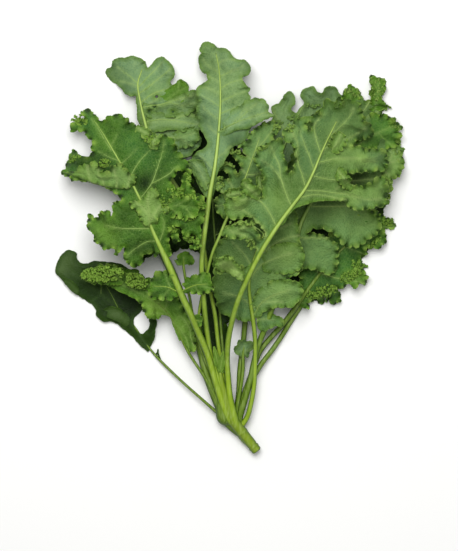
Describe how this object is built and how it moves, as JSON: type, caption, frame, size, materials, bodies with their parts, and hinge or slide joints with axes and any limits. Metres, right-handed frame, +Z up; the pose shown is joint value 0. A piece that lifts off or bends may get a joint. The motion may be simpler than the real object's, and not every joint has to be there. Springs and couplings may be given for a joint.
{
  "type": "kale bunch",
  "caption": "Loose bunch of curly kale lying on its side: frilled, lobed leaves on long pale stems that fan out from one short cut stalk.",
  "frame": {"origin": "bottom centre of the bounding box: the middle of the surface that the bunch lies on", "axes": "+Z up from the surface, +Y along the bunch from the cut end of the stalk to the leaf tips, +X across it, to the right as seen from above with the cut end nearest"},
  "size_m": [0.351, 0.41, 0.0818],
  "materials": {
    "stalk": "satin",
    "leaf_upper_face": "satin",
    "leaf_underside": "matte",
    "young_leaf": "satin"
  },
  "bodies": {
    "root": {"stalk": "stalk", "leaf_front_left": "leaf_upper_face", "leaf_curly_left": "leaf_upper_face", "leaf_low_right": "leaf_upper_face", "leaf_under_left": "leaf_upper_face", "leaf_low_left": "leaf_upper_face", "leaf_young_left": "leaf_upper_face", "leaf_front_right": "leaf_underside", "leaf_centre": "leaf_underside", "leaf_inner_centre": "leaf_underside", "leaf_inner_right": "leaf_underside", "leaf_back_left": "leaf_underside", "leaf_back_right": "leaf_underside", "leaf_back_top": "leaf_underside", "leaf_under_centre": "leaf_underside", "leaf_under_right": "leaf_underside", "leaf_small_pale": "leaf_underside", "heart_leaf_1": "young_leaf", "heart_leaf_2": "young_leaf", "heart_leaf_3": "young_leaf", "heart_leaf_4": "young_leaf"}
  },
  "joints": []
}
